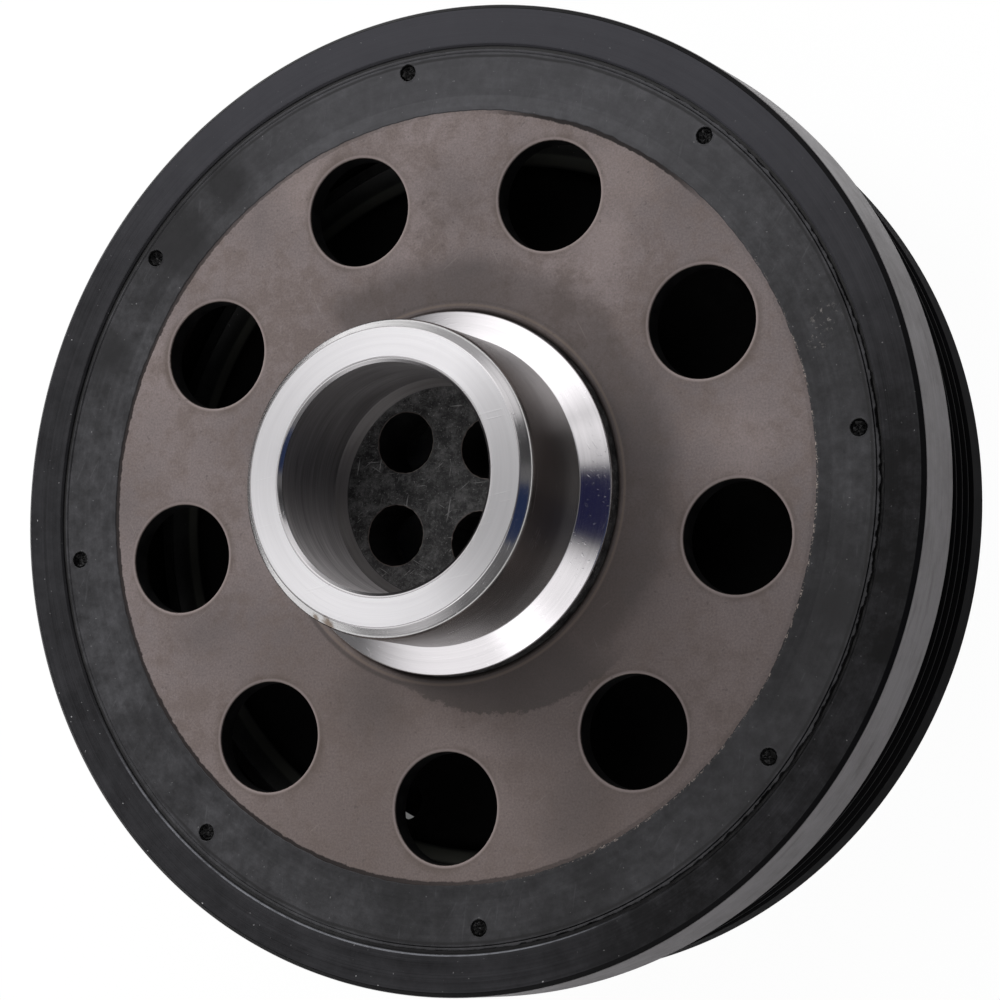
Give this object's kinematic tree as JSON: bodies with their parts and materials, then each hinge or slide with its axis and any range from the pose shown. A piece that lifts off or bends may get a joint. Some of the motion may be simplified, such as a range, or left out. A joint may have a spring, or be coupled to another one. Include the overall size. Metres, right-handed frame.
{
  "type": "harmonic balancer",
  "caption": "Crankshaft torsional damper pulley: long hub nose with blind bore, pierced web disc, rubber-bonded inertia ring and a ribbed belt rim carried on an inner rubber coupling.",
  "frame": {"origin": "centre of the pulley's front face, where the part rests", "axes": "+Z along the crank axis towards the engine, up the hub's nose; +X and +Y lie in the front face"},
  "size_m": [0.192, 0.192, 0.074],
  "materials": {
    "hub_steel": "turned steel, bright on the journal and the end face",
    "web_steel": "warm brown-grey phosphated steel sheet",
    "damper_rubber": "black moulded rubber, satin",
    "ring_iron": "dark coated face with fine turning lines, bare grey rim",
    "bearing_plastic": "sliding bearing plastic",
    "pulley_steel": "black electrocoat",
    "coated_steel": "black coat, slightly mottled",
    "coupling_rubber": "black rubber, browned at its end"
  },
  "bodies": {
    "root": {"hub": "hub_steel", "web_disc": "web_steel", "damper_rubber": "damper_rubber", "inertia_ring": "ring_iron", "plain_bush": "bearing_plastic", "thrust_ring": "bearing_plastic", "pulley": "pulley_steel", "coupling_carrier": "coated_steel", "coupling_rubber": "coupling_rubber", "coupling_sleeve": "coated_steel"}
  },
  "joints": []
}
